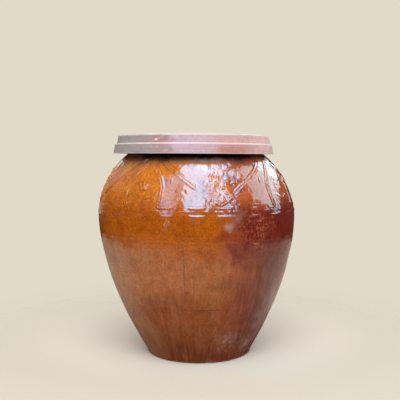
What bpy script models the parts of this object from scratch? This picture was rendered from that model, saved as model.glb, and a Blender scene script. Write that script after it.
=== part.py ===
"""Large glazed earthenware storage jar with a loose, stepped clay lid.

The jar is a turned shell with a flat foot, a full belly and a rolled rim. Its shoulder carries
luted relief, each piece shaped by itself and pressed on: four pointed lappets and four arches
of reeded band, a pair of scrolls in each lappet, a flower with two leaves in each arch and a bud
on each side of it. The jar dried a little out of true, so its neck stands to one side of its
foot. The lid lies loose on the rim.

Metres, +Z up. The origin is on the ground, straight under the middle of the belly.
"""

import math

import bmesh
import bpy
from mathutils import Matrix, Vector

# Jar wall, outside
FOOT_RADIUS = 0.1595
FOOT_EDGE = 0.004
BELLY_RADIUS = 0.2995
BELLY_HEIGHT = 0.430
SHOULDER_HEIGHT = 0.178
NECK_RADIUS = 0.203
NECK_HEIGHT = BELLY_HEIGHT + SHOULDER_HEIGHT
COLLAR_HEIGHT = 0.0387
JAR_HEIGHT = NECK_HEIGHT + COLLAR_HEIGHT
LEAN = 0.0115

# Curve of the wall: the length and slope of the pulls that shape it
FOOT_PULL = 0.040
FOOT_SLOPE = math.radians(65.5)
BELLY_PULL_DOWN = 0.199
BELLY_PULL_UP = 0.030
NECK_PULL = 0.090
NECK_SLOPE = math.radians(37.0)

# Jar wall, inside and underneath
WALL_THICKNESS = 0.013
FLOOR_THICKNESS = 0.018
FLOOR_FILLET = 0.030
FOOT_RING_WIDTH = 0.035
FOOT_RECESS = 0.004

# Rolled rim
RIM_HEIGHT = 0.028
RIM_ROLL = 0.011
RIM_ROUND = 0.004

# Thrown ridges that close the relief at its lower edge, measured down from the neck
RIDGE_DROPS = (0.149, 0.170)
RIDGE_WIDTH = 0.008
RIDGE_RISE = 0.0018

# Lid, whose skirt hangs round the rim with some play
LID_PLAY = 0.013
LID_SKIRT_WALL = 0.017
LID_SKIRT_RADIUS = NECK_RADIUS + RIM_ROLL + LID_PLAY
LID_RADIUS = LID_SKIRT_RADIUS + LID_SKIRT_WALL
LID_HEIGHT = 0.055
LID_PLATE = 0.014
LID_STEP_HEIGHT = 0.028
LID_STEP_WIDTH = 0.005
LID_TIER_TAPER = 0.004
LID_TOP_TAPER = 0.007
LID_INNER_TAPER = 0.008
LID_EDGE_ROUND = 0.003
LID_LIP_ROUND = 0.0015
LID_OFFSET = 0.005
SEAT_GAP = 0.0003

# Luted relief
RELIEF_GAP = 0.0003
REPEATS = 4
FRONT_AZIMUTH = math.radians(14.0)
COIL_WIDTH = 0.0055
COIL_RISE = 0.0026
COIL_PROFILE = ((-0.5, 0.0), (-0.32, 0.75), (0.0, 1.0), (0.32, 0.75), (0.5, 0.0))
BAND_WIDTH = 0.0145
BAND_PROFILE = ((-0.5, 0.0), (-0.42, 0.75), (-0.3, 1.0), (-0.12, 0.3),
                (0.12, 0.3), (0.3, 1.0), (0.42, 0.75), (0.5, 0.0))
RELIEF_TOP_DROP = 0.016
RELIEF_FOOT_CLEARANCE = 0.002
LAPPET_CLEARANCE = 0.010
LAPPET_TIP_ROUND = 0.08
LAPPET_BOW = 0.86
ARCH_WIDTH = 0.119
ARCH_DRAW_IN = 0.013
ARCH_SPRING_DROP = 0.096
ARCH_APEX_DROP = 0.023
ARCH_POINT = 1.7
SCROLL_DROP = 0.060
SCROLL_SPACE = 0.010
SCROLL_SIDE_ROOM = 0.034
SCROLL_EYE = 0.0085
SCROLL_START = math.radians(-165.0)
SCROLL_TURN = math.radians(430.0)
SCROLL_TAPER = 0.35
SPRIG_DROP = 0.090
SPRIG_RADIUS = 0.019
SPRIG_RISE = 0.003
SPRIG_LOBES = 5
SPRIG_LOBE_DEPTH = 0.30
SPRIG_RINGS = ((1.0, 0.0), (0.93, 0.65), (0.62, 1.0), (0.34, 0.45), (0.22, 1.0))
SPRIG_EYE_RISE = 1.15
LEAF_LENGTH = 0.028
LEAF_WIDTH = 0.009
LEAF_TIP = 0.25
LEAF_FULLNESS = 0.8
LEAF_DROP = 0.125
LEAF_START = 0.007
LEAF_CLIMB = 0.010
BUD_LENGTH = 0.018
BUD_WIDTH = 0.007
BUD_DROP = 0.083
BUD_REACH = 0.082

# How finely the round forms are cut
TURN_STEPS = 64
WALL_STEPS = 11
INNER_STEPS = 5
GUIDE_STEPS = 90
ROLL_STEPS = 4
CORNER_STEPS = 2
LAPPET_STEPS = 32
ARCH_STEPS = 10
LEG_STEPS = 3
SCROLL_STEPS = 17
LEAF_STEPS = 4
MERGE = 0.00001

# Colours (linear), roughness, metallic
GLAZE = ("amber_glaze", (0.386, 0.096, 0.017, 1.0), 0.12, 0.0)
CLAY = ("bare_clay", (0.510, 0.330, 0.320, 1.0), 0.85, 0.0)


def material(name, colour, roughness, metallic):
    """A plain shaded finish."""
    finish = bpy.data.materials.new(name)
    finish.use_nodes = True
    shader = finish.node_tree.nodes["Principled BSDF"]
    shader.inputs["Base Color"].default_value = colour
    shader.inputs["Roughness"].default_value = roughness
    shader.inputs["Metallic"].default_value = metallic
    finish.diffuse_color = colour
    return finish


def place(name, shape, finish, parent=None, location=(0.0, 0.0, 0.0)):
    """Closes a bmesh into a named object with its finish."""
    bmesh.ops.recalc_face_normals(shape, faces=shape.faces)
    mesh = bpy.data.meshes.new(name)
    shape.to_mesh(mesh)
    shape.free()
    mesh.materials.append(finish)
    mesh.shade_smooth()
    mesh.set_sharp_from_angle(angle=math.radians(35.0))
    piece = bpy.data.objects.new(name, mesh)
    bpy.context.collection.objects.link(piece)
    piece.parent = parent
    piece.location = location
    return piece


def turned(outline):
    """A solid of revolution from an outline of (radius, height) points that starts and ends on the axis."""
    shape = bmesh.new()
    points = [shape.verts.new((radius, 0.0, height)) for radius, height in outline]
    edges = [shape.edges.new(pair) for pair in zip(points, points[1:])]
    bmesh.ops.spin(shape, geom=points + edges, cent=(0.0, 0.0, 0.0), axis=(0.0, 0.0, 1.0),
                   angle=math.tau, steps=TURN_STEPS, use_merge=True)
    bmesh.ops.remove_doubles(shape, verts=shape.verts, dist=MERGE)
    return shape


def rounded(corners):
    """An outline from (radius, height, rounding) corners, with a short arc at each rounded one."""
    outline = []
    last = len(corners) - 1
    for spot, (radius, height, rounding) in enumerate(corners):
        corner = Vector((radius, height))
        if rounding == 0.0:
            outline.append(tuple(corner))
            continue
        before = corner + rounding * (Vector(corners[max(spot - 1, 0)][:2]) - corner).normalized()
        after = corner + rounding * (Vector(corners[min(spot + 1, last)][:2]) - corner).normalized()
        outline += [tuple(point) for point in bezier(before, corner, corner, after, CORNER_STEPS)]
    return outline


def bezier(start, pull_out, pull_in, end, steps):
    """Points along a cubic curve, both ends included."""
    curve = []
    for step in range(steps + 1):
        t = step / steps
        s = 1.0 - t
        curve.append(s**3 * start + 3 * s * s * t * pull_out + 3 * s * t * t * pull_in + t**3 * end)
    return curve


def sway(height):
    """How far the jar's axis stands to the side at a height, because it dried out of true."""
    return -LEAN * (height - BELLY_HEIGHT) / JAR_HEIGHT


def wall_curve(steps):
    """Points (radius, height) up the outside of the wall, from the foot's edge to the neck."""
    foot = Vector((FOOT_RADIUS, FOOT_EDGE))
    belly = Vector((BELLY_RADIUS, BELLY_HEIGHT))
    neck = Vector((NECK_RADIUS, NECK_HEIGHT))
    foot_pull = foot + FOOT_PULL * Vector((math.cos(FOOT_SLOPE), math.sin(FOOT_SLOPE)))
    neck_pull = neck + NECK_PULL * Vector((math.cos(NECK_SLOPE), -math.sin(NECK_SLOPE)))
    lower = bezier(foot, foot_pull, belly - Vector((0.0, BELLY_PULL_DOWN)), belly, steps)
    upper = bezier(belly, belly + Vector((0.0, BELLY_PULL_UP)), neck_pull, neck, steps)
    return lower + upper[1:]


GUIDE = wall_curve(GUIDE_STEPS)


def wall_at(height):
    """The outer radius at a height, and the wall's outward normal there as (out, up)."""
    for below, above in zip(GUIDE, GUIDE[1:]):
        if height <= above.y:
            break
    run = (above - below).normalized()
    radius = below.x + (height - below.y) * run.x / run.y
    return radius, run.y, -run.x


def on_wall(azimuth, height, lift):
    """A point that stands off the wall. Azimuth 0 faces -Y and grows towards +X."""
    radius, out, up = wall_at(height)
    radius += lift * out
    height += lift * up
    return Vector((radius * math.sin(azimuth) + sway(height), -radius * math.cos(azimuth), height))


def add_ridges(curve):
    """Raises the thrown ridges on the wall's curve and drops the points that they stand in for."""
    half = RIDGE_WIDTH / 2
    for drop in RIDGE_DROPS:
        middle = NECK_HEIGHT - drop
        curve = [point for point in curve if abs(point.y - middle) > RIDGE_WIDTH]
        for height, rise in ((middle - half, 0.0), (middle, RIDGE_RISE), (middle + half, 0.0)):
            radius, out, up = wall_at(height)
            curve.append(Vector((radius + rise * out, height + rise * up)))
    return sorted(curve, key=lambda point: point.y)


def inner_curve():
    """The inside of the wall from the neck down to the floor, one wall thickness in."""
    inside = []
    throat = NECK_RADIUS - WALL_THICKNESS
    for below, above in zip(wall_curve(INNER_STEPS), wall_curve(INNER_STEPS)[1:]):
        middle = (below + above) / 2
        run = (above - below).normalized()
        point = middle - WALL_THICKNESS * Vector((run.y, -run.x))
        if point.x > throat and point.y > FLOOR_THICKNESS + FLOOR_FILLET:
            inside.append(point)
    inside.reverse()
    lowest = inside[-1]
    foot_wall = FOOT_RADIUS - WALL_THICKNESS
    share = (FLOOR_THICKNESS + FLOOR_FILLET) / lowest.y
    corner = foot_wall + (lowest.x - foot_wall) * share
    fillet = bezier(Vector((corner, FLOOR_THICKNESS + FLOOR_FILLET)), Vector((foot_wall, FLOOR_THICKNESS)),
                    Vector((foot_wall, FLOOR_THICKNESS)), Vector((foot_wall - FLOOR_FILLET, FLOOR_THICKNESS)),
                    ROLL_STEPS)
    return inside + fillet


def jar_outline():
    """The whole section of the jar, from the middle of its underside round to the middle of its floor."""
    ring_inside = FOOT_RADIUS - FOOT_RING_WIDTH
    outline = [
        (0.0, FOOT_RECESS),
        (ring_inside - FOOT_RECESS, FOOT_RECESS),
        (ring_inside, 0.0),
        (FOOT_RADIUS - FOOT_EDGE, 0.0),
    ]
    outline += [tuple(point) for point in add_ridges(wall_curve(WALL_STEPS))]
    roll_middle = JAR_HEIGHT - RIM_HEIGHT / 2
    for step in range(ROLL_STEPS + 1):
        turn = math.pi * (step / ROLL_STEPS - 0.5)
        bulge = RIM_ROLL * math.cos(turn)
        outline.append((NECK_RADIUS + bulge, roll_middle + RIM_HEIGHT / 2 * math.sin(turn)))
    throat = NECK_RADIUS - WALL_THICKNESS
    outline += rounded([
        (NECK_RADIUS, JAR_HEIGHT, 0.0),
        (throat, JAR_HEIGHT, RIM_ROUND),
        (throat, NECK_HEIGHT, 0.0),
    ])[1:]
    outline += [tuple(point) for point in inner_curve()]
    outline.append((0.0, FLOOR_THICKNESS))
    return outline


def make_jar(finish):
    """The fired jar: floor, wall and rim in one, leaning a little."""
    shape = turned(jar_outline())
    slant = Matrix.Shear("XY", 4, (-LEAN / JAR_HEIGHT, 0.0))
    bmesh.ops.transform(shape, matrix=slant, verts=shape.verts)
    return place("jar_body", shape, finish, location=(sway(0.0), 0.0, 0.0))


def make_lid(finish):
    """The loose lid, a stepped dish turned upside down. Its origin is on its axis, at its lower edge."""
    depth = LID_HEIGHT - LID_PLATE
    tier = LID_RADIUS - LID_TIER_TAPER
    upper = tier - LID_STEP_WIDTH
    top = upper - LID_TOP_TAPER
    outline = rounded([
        (0.0, depth, 0.0),
        (LID_SKIRT_RADIUS - LID_INNER_TAPER, depth, LID_EDGE_ROUND),
        (LID_SKIRT_RADIUS, 0.0, 0.0),
        (LID_RADIUS, 0.0, LID_LIP_ROUND),
        (tier, LID_STEP_HEIGHT, LID_EDGE_ROUND),
        (upper, LID_STEP_HEIGHT, 0.0),
        (top, LID_HEIGHT, LID_EDGE_ROUND),
        (0.0, LID_HEIGHT, 0.0),
    ])
    seat = JAR_HEIGHT + SEAT_GAP - depth
    spot = (sway(JAR_HEIGHT) - LID_OFFSET, 0.0, seat)
    return place("lid", turned(outline), finish, location=spot)


def luted_strip(path, profile, rise, width_at):
    """A strip of one section, laid on the wall along (azimuth, height) stations."""
    shape = bmesh.new()
    rings = []
    for spot, (azimuth, height) in enumerate(path):
        radius, out, _ = wall_at(height)
        sides = []
        for a, b in ((spot - 1, spot), (spot, spot + 1)):
            if a >= 0 and b < len(path):
                around = (path[b][0] - path[a][0]) * radius
                climb = (path[b][1] - path[a][1]) / out
                sides.append(Vector((-climb, around)).normalized())
        left = sum(sides, Vector((0.0, 0.0))).normalized()
        left /= left.dot(sides[0])
        ring = []
        for across, up in profile:
            step = left * (across * width_at(spot / (len(path) - 1)))
            ring.append(shape.verts.new(on_wall(azimuth + step.x / radius, height + step.y * out,
                                                RELIEF_GAP + up * rise)))
        rings.append(ring)
    for ring, following in zip(rings, rings[1:]):
        for corner in range(len(ring)):
            beside = (corner + 1) % len(ring)
            shape.faces.new((ring[corner], ring[beside], following[beside], following[corner]))
    shape.faces.new(rings[0])
    shape.faces.new(reversed(rings[-1]))
    return shape


def band_width(share):
    """A band that keeps its width."""
    return BAND_WIDTH


def scroll_width(share):
    """A coil that thins towards the eye of its scroll."""
    return COIL_WIDTH * (1.0 - SCROLL_TAPER * share)


def relief_top():
    """Height of the relief's upper edge."""
    return NECK_HEIGHT - RELIEF_TOP_DROP


def relief_foot():
    """Height just over the upper ridge, where the relief's centre lines end."""
    ridge_edge = NECK_HEIGHT - RIDGE_DROPS[0] + RIDGE_WIDTH / 2
    return ridge_edge + RELIEF_FOOT_CLEARANCE


def lappet_half():
    """Half the angle that a lappet spans at the neck."""
    return math.pi / REPEATS - (BAND_WIDTH + LAPPET_CLEARANCE) / wall_at(relief_top())[0]


def lappet_height(across):
    """Height of a lappet's outline at a share of its half span, 0 at its tip and 1 at the neck."""
    tip = relief_foot() + BAND_WIDTH / 2
    reach = math.hypot(across, LAPPET_TIP_ROUND) - LAPPET_TIP_ROUND
    reach /= math.hypot(1.0, LAPPET_TIP_ROUND) - LAPPET_TIP_ROUND
    return tip + (relief_top() - tip) * reach**LAPPET_BOW


def lappet_path(middle):
    """The outline of a lappet, from the neck down to its tip and up again."""
    path = []
    for step in range(LAPPET_STEPS + 1):
        across = 2 * step / LAPPET_STEPS - 1.0
        path.append((middle + lappet_half() * across, lappet_height(across)))
    return path


def arch_path(middle):
    """The outline of an arch: up its left leg, over its point and down its right leg."""
    foot = relief_foot()
    spring = NECK_HEIGHT - ARCH_SPRING_DROP
    apex = NECK_HEIGHT - ARCH_APEX_DROP
    right = []
    for step in range(ARCH_STEPS):
        climb = 1.0 - step / ARCH_STEPS
        right.append((ARCH_WIDTH / 2 * (1.0 - climb**ARCH_POINT), spring + (apex - spring) * climb))
    for step in range(LEG_STEPS + 1):
        fall = step / LEG_STEPS
        right.append((ARCH_WIDTH / 2 - ARCH_DRAW_IN / 2 * fall**2, spring + (foot - spring) * fall))
    span = wall_at(spring)[0]
    left = [(-across, height) for across, height in reversed(right[1:])]
    return [(middle + across / span, height) for across, height in left + right]


def scroll_radius():
    """The radius that a scroll starts with: half the width that its side of the lappet leaves it."""
    eye_height = NECK_HEIGHT - SCROLL_DROP
    across = 0.0
    while lappet_height(across) < eye_height:
        across += 1.0 / GUIDE_STEPS
    side = across * lappet_half() * wall_at(eye_height)[0] - BAND_WIDTH / 2
    return (side - SCROLL_SPACE / 2 - SCROLL_SIDE_ROOM) / 2


def scroll_path(middle, side):
    """A coil that rolls up from beside the lappet's centre line into its eye."""
    eye_height = NECK_HEIGHT - SCROLL_DROP
    radius, out, _ = wall_at(eye_height)
    widest = scroll_radius()
    path = []
    for step in range(SCROLL_STEPS + 1):
        share = step / SCROLL_STEPS
        turn = SCROLL_START + SCROLL_TURN * share
        arm = widest + (SCROLL_EYE - widest) * share
        across = side * (SCROLL_SPACE / 2 + widest + arm * math.cos(turn))
        path.append((middle + across / radius, eye_height + arm * math.sin(turn) * out))
    return path


def leaf_path(middle, height, start, end):
    """A short straight run on the wall between two (across, up) ends measured from a middle."""
    radius, out, _ = wall_at(height)
    path = []
    for step in range(LEAF_STEPS + 1):
        share = step / LEAF_STEPS
        across = start[0] + (end[0] - start[0]) * share
        up = start[1] + (end[1] - start[1]) * share
        path.append((middle + across / radius, height + up * out))
    return path


def leaf_width(full):
    """A leaf's width along its length: pointed at both ends and fullest past its middle."""
    return lambda share: full * (LEAF_TIP + (1.0 - LEAF_TIP) * math.sin(math.pi * share**LEAF_FULLNESS))


def flower(middle, height):
    """A pressed flower with rounded lobes, its underside bent to the wall."""
    shape = bmesh.new()
    radius, out, _ = wall_at(height)
    count = 3 * SPRIG_LOBES

    def ring(scale, lift):
        corners = []
        for corner in range(count):
            turn = math.tau * corner / count
            lobe = 1.0 - SPRIG_LOBE_DEPTH * (1.0 - math.cos(SPRIG_LOBES * turn)) / 2
            arm = SPRIG_RADIUS * scale * lobe
            corners.append(shape.verts.new(on_wall(middle + arm * math.sin(turn) / radius,
                                                   height + arm * math.cos(turn) * out, lift)))
        return corners

    rings = [ring(SPRIG_RINGS[0][0] / 2, RELIEF_GAP)]
    rings += [ring(scale, RELIEF_GAP + lift * SPRIG_RISE) for scale, lift in SPRIG_RINGS]
    for inner, outer in zip(rings, rings[1:]):
        for corner in range(count):
            beside = (corner + 1) % count
            shape.faces.new((inner[corner], inner[beside], outer[beside], outer[corner]))
    for last, lift in ((rings[0], RELIEF_GAP), (rings[-1], RELIEF_GAP + SPRIG_EYE_RISE * SPRIG_RISE)):
        centre = shape.verts.new(on_wall(middle, height, lift))
        for corner in range(count):
            shape.faces.new((last[corner], last[(corner + 1) % count], centre))
    return shape


def make_relief(finish, jar):
    """The luted relief, one repeat at a time round the shoulder."""
    pitch = math.tau / REPEATS
    spot = (-jar.location.x, 0.0, 0.0)
    for number in range(1, REPEATS + 1):
        lappet = FRONT_AZIMUTH + pitch * (number - 1)
        arch = lappet - pitch / 2
        pieces = {
            "lappet_band": luted_strip(lappet_path(lappet), BAND_PROFILE, COIL_RISE, band_width),
            "arch_band": luted_strip(arch_path(arch), BAND_PROFILE, COIL_RISE, band_width),
            "flower": flower(arch, NECK_HEIGHT - SPRIG_DROP),
        }
        for name, side in (("left", -1), ("right", 1)):
            scroll = scroll_path(lappet, side)
            leaf = leaf_path(arch, NECK_HEIGHT - LEAF_DROP, (side * LEAF_START, 0.0),
                             (side * (LEAF_START + LEAF_LENGTH), LEAF_CLIMB))
            bud = leaf_path(arch, NECK_HEIGHT - BUD_DROP, (side * BUD_REACH, 0.0),
                            (side * BUD_REACH, BUD_LENGTH))
            pieces[f"scroll_{name}"] = luted_strip(scroll, COIL_PROFILE, COIL_RISE, scroll_width)
            pieces[f"leaf_{name}"] = luted_strip(leaf, COIL_PROFILE, COIL_RISE, leaf_width(LEAF_WIDTH))
            pieces[f"bud_{name}"] = luted_strip(bud, COIL_PROFILE, COIL_RISE, leaf_width(BUD_WIDTH))
        for name, shape in pieces.items():
            place(f"{name}_{number}", shape, finish, jar, spot)


def main():
    for old in list(bpy.data.objects):
        bpy.data.objects.remove(old)
    glaze = material(*GLAZE)
    clay = material(*CLAY)
    jar = make_jar(glaze)
    make_relief(glaze, jar)
    make_lid(clay)


main()
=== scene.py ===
"""Large glazed earthenware storage jar with a loose clay lid: fine relief, glaze, fired clay and light.

Metres, +Z up. Azimuth 0 faces -Y, towards the camera, and grows towards +X.
"""

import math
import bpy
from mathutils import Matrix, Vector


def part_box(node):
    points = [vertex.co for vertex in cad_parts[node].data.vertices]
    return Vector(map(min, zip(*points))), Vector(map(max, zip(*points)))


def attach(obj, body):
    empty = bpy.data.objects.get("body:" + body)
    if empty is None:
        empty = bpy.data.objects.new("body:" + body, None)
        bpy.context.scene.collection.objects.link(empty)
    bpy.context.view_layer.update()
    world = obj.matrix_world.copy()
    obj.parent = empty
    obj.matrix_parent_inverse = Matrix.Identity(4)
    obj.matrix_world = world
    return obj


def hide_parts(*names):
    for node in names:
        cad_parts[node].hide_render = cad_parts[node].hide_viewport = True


bl_info = {
    "name": "Glazed Storage Jar",
    "version": (1, 0, 0),
    "blender": (4, 5, 0),
    "location": "View3D > Sidebar > Storage Jar",
    "description": "Dresses a storage jar and its lid with relief, glaze, fired clay and studio light",
    "category": "Add Mesh",
}

from functools import cached_property

import bmesh
import bpy
import numpy as np
from bpy.props import FloatProperty, FloatVectorProperty, PointerProperty
from bpy.types import Operator, Panel, PropertyGroup
from mathutils import Vector

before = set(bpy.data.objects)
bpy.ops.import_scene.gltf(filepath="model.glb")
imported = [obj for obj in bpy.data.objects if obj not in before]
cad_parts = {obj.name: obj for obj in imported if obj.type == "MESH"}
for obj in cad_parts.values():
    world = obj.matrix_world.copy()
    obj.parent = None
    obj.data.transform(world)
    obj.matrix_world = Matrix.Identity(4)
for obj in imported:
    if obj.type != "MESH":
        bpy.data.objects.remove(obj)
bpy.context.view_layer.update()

_, JAR_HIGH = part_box("jar_body")
LID_LOW, LID_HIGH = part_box("lid")

# Curve of the wall: the length and slope of the pulls that shape it
FOOT_PULL = 0.040
FOOT_SLOPE = math.radians(65.5)
BELLY_PULL_DOWN = 0.199
BELLY_PULL_UP = 0.030
NECK_PULL = 0.090
NECK_SLOPE = math.radians(37.0)
WAIST_HEIGHT = 0.290
WAIST_DIP = 0.0016
WAIST_SPREAD = 0.030
GUIDE_STEPS = 240

# Foot and floor
FOOT_RING_WIDTH = 0.035
FOOT_RECESS = 0.004
FLOOR_FILLET = 0.030
FILLET_STEPS = 8
FLOOR_RINGS = (0.09, 0.06, 0.03, 0.0)

# Outline of the foot ring: (outward, up), from its inner radius inside and from the foot's radius elsewhere
RING_INSIDE = ((-0.006, FOOT_RECESS), (-0.002, 0.0028), (0.001, 0.0005), (0.004, 0.0))
RING_UNDER = ((-0.022, 0.0), (-0.014, 0.0), (-0.008, 0.0), (-0.0055, 0.0))
RING_OUTSIDE = ((-0.0026, 0.0006), (-0.0008, 0.0019))

# Flakes broken out of the foot: (azimuth, reach round it, share of the full depth)
FOOT_FLAKES = ((math.radians(13.0), 0.06, 1.0), (2.3, 0.05, 0.6), (-1.9, 0.08, 0.5))
FLAKE_DEPTH = 0.0042
FLAKE_WIDTH = 0.010
FLAKE_HEIGHT = 0.022
FOOT_WAVER = 0.0014
FOOT_TOP = 0.020

# Rolled rim
RIM_HEIGHT = 0.028
RIM_ROLL = 0.011
RIM_ROUND = 0.004
ROLL_POINTS = 19
CORNER_STEPS = 6
THROAT_DROP = 0.008

# Where the wall is divided into pieces, and how finely each is cut
SHOULDER_CUTS = (0.430, 0.484, 0.538, 0.598)
SHOULDER_COLUMNS = 1200
SHOULDER_STEP = 0.00135
PLAIN_COLUMNS = 480
SECTORS = 30
WALL_STEP = 0.0036
INNER_STEP = 0.009
LID_COLUMNS = 420
LID_STEP = 0.0032
WELD = 0.00002

# Luted relief
REPEATS = 4
FRONT_AZIMUTH = math.radians(14.0)
RELIEF_TOP_DROP = 0.016
RELIEF_FOOT_DROP = 0.143
RAISED_FULL = 0.0024
BAND_WIDTH = 0.0145
BEAD_SPREAD = 0.0039
BEAD_OFFSET = 0.0037
COIL_ROUND = 0.8
BAND_FLOOR = 0.25
LAPPET_CLEARANCE = 0.010
LAPPET_TIP_ROUND = 0.08
LAPPET_BOW = 0.86
LAPPET_POINTS = 57
ARCH_WIDTH = 0.119
ARCH_DRAW_IN = 0.013
ARCH_SPRING_DROP = 0.096
ARCH_APEX_DROP = 0.023
ARCH_POINT = 1.7
ARCH_RISE_POINTS = 18
ARCH_LEG_POINTS = 5
SCROLL_DROP = 0.060
SCROLL_SPACE = 0.010
SCROLL_RADIUS = 0.031
SCROLL_EYE = 0.0085
SCROLL_START = math.radians(-165.0)
SCROLL_TURN = math.radians(430.0)
SCROLL_TAPER = 0.35
SCROLL_POINTS = 45
SPRIG_DROP = 0.090
SPRIG_RADIUS = 0.019
SPRIG_LOBES = 5
SPRIG_LOBE_DEPTH = 0.30
SPRIG_RING_RADIUS = 0.0066
SPRIG_RING_SPREAD = 0.0017
LEAF_DROP = 0.125
LEAF_START = 0.007
LEAF_LENGTH = 0.028
LEAF_CLIMB = 0.010
LEAF_SPREAD = 0.0045
VEIN_SPREAD = 0.0009
BUD_DROP = 0.083
BUD_REACH = 0.082
BUD_LENGTH = 0.018
BUD_SPREAD = 0.0035
POOL_SPREAD = 0.0015

# Thrown lines that close the relief: (drop below the neck, rise)
THROWN_LINES = ((0.149, 0.0009), (0.158, 0.0005), (0.170, 0.0012), (0.182, 0.0004), (0.195, 0.0005))
THROWN_LINE_SPREAD = 0.0034
THROWN_LINE_BREAKS = 23

# Finger rings on the belly, and how far below the smooth wall the uneven one lies
RING_PITCH = 0.0137
RING_RISE = 0.00016
HAND_DEPTH = 0.0007

# Rough places: (azimuth, height, reach to each side, reach up and down)
COMBED = (math.radians(1.6), 0.524, math.radians(9.2), 0.068)
ROUGH_PLACES = (
    (math.radians(-7.0), 0.568, math.radians(4.0), 0.022),
    (math.radians(-15.3), 0.444, math.radians(3.4), 0.012),
)

# Where thick glaze fills the relief, in the same measures
THICK_PLACE = (math.radians(0.5), 0.530, math.radians(8.0), 0.060)

# Lid: how its sides lean in, how it slopes, and the least and most of a nick (azimuth, reach, bite)
LID_TIER_TAPER = 0.004
LID_TOP_TAPER = 0.007
LID_INNER_TAPER = 0.008
LID_SLANT = 0.005
LID_INSET = 0.0008
NICKS = 14
NICK_LEAST = (-math.pi, 0.004, 0.0005)
NICK_MOST = (math.pi, 0.016, 0.0024)
NICK_HEIGHT = 0.0035
NICK_TINT = (0.10, 0.08, 0.08)

# Camera, measured from the reference view
CAMERA_PLACE = Vector((0.0107, -1.994, 0.596))
CAMERA_PITCH = math.radians(86.18)
CAMERA_LENS = 58.35

# Soft lamp that lights the jar from above the camera
KEY_PLACE = Vector((0.1, -2.3, 2.7))
KEY_AIM = Vector((0.0, 0.0, 0.35))
KEY_SIZE = 2.6

# Floor: its radius, where it fades, and how far behind the jar the middle of its shade lies, where painted
# light makes the floor lighter
FLOOR_RADIUS = 3.2
FLOOR_DROP = 0.0003
FLOOR_FADE_START = 0.30
FLOOR_FADE_END = 1.15
PAINTED_LIGHT_BACK = 0.25

# Bright ground that the glaze mirrors: an ellipse whose middle lies behind the jar
GROUND_WIDTH = 1.52
GROUND_DEPTH = 1.80
GROUND_BACK = 0.55
# Dark ground that the glaze mirrors outside the ellipse and near the jar, as painted shade
DARK_GROUND = (0.03, 0.022, 0.018)

WHITE = (1.0, 1.0, 1.0)

# Dim room that the glaze mirrors, from the horizon to overhead
ROOM_LOW = (0.04, 0.035, 0.035)
ROOM_HIGH = (0.34, 0.33, 0.36)

# Windows that the glaze mirrors: (name, azimuth and height on the wall, width, height, brightness, roll,
# colour where it isn't the sky's)
SKY = 27.5
WINDOW_DISTANCE = 3.0
WINDOWS = (
    ("window", 0.0, 0.518, 1.3, 3.65, SKY, 0.0, None),
    ("window_pane", 14.0, 0.562, 1.2, 1.5, SKY, 0.0, None),
    ("window_sill", 15.0, 0.482, 0.9, 1.6, SKY, 20.0, None),
    ("window_right", 55.2, 0.577, 1.12, 1.38, 9.5, 0.0, (0.55, 0.86, 1.0)),
    ("window_dim_left", -15.0, 0.500, 1.1, 2.2, 9.5, 0.0, None),
    ("window_dim_right", 42.5, 0.522, 2.3, 2.1, 8.5, -35.0, (0.50, 0.86, 0.97)),
    ("window_left", -66.0, 0.590, 0.3, 0.6, 7.0, 0.0, (0.9, 0.95, 1.0)),
    ("wall_left", -74.0, 0.542, 1.9, 1.5, 0.55, 0.0, (1.0, 0.78, 0.55)),
)

# Small bright gaps low in the window: (azimuth and height on the wall, width, height)
GLINTS = ((-15.3, 0.446, 0.35, 0.27), (-15.3, 0.422, 0.23, 0.04), (-1.5, 0.412, 0.05, 0.03))
GLINT_DISTANCE = 2.2
GLINT_SPREAD = math.radians(10.0)

# Heights between which one glaze gives way to another: (where it starts, where it is full)
HONEY_EDGE = (0.440, 0.512)
STRAW_EDGE = (0.555, 0.592)
# Painted shade under the lid's overhang: where the dark ring starts and where it is full, with the neck and
# rim above it dark
NECK_SHADE_EDGE = (0.565, 0.598)
BELT_EDGE = (0.492, 0.440)
LOWER_EDGE = (0.386, 0.328)
DRY_EDGE = (0.40, 0.33)
BROWN_EDGE = (0.245, 0.165)
UMBER_EDGE = (0.135, 0.030)
DARK_EDGE = (0.150, 0.020)

# Azimuths between which the maroon side starts and ends, and the middle of the side where a painted
# reflection of the pale floor lightens the lower wall
MAROON_START = (0.17, 0.57)
MAROON_END = (2.4, 1.5)
PLUM_START = (0.48, 0.80)
REFLECTION_SIDE_MIDDLE = -1.35

STAIN_TINT = (0.60, 0.44, 0.34)

# Where pale crumbs lie: (azimuth, height, half width, half height, core, raggedness, grain)
CRUMBS = (35.0, 0.412, 0.082, 0.082, -0.3, 2.6, 36.0)

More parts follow.
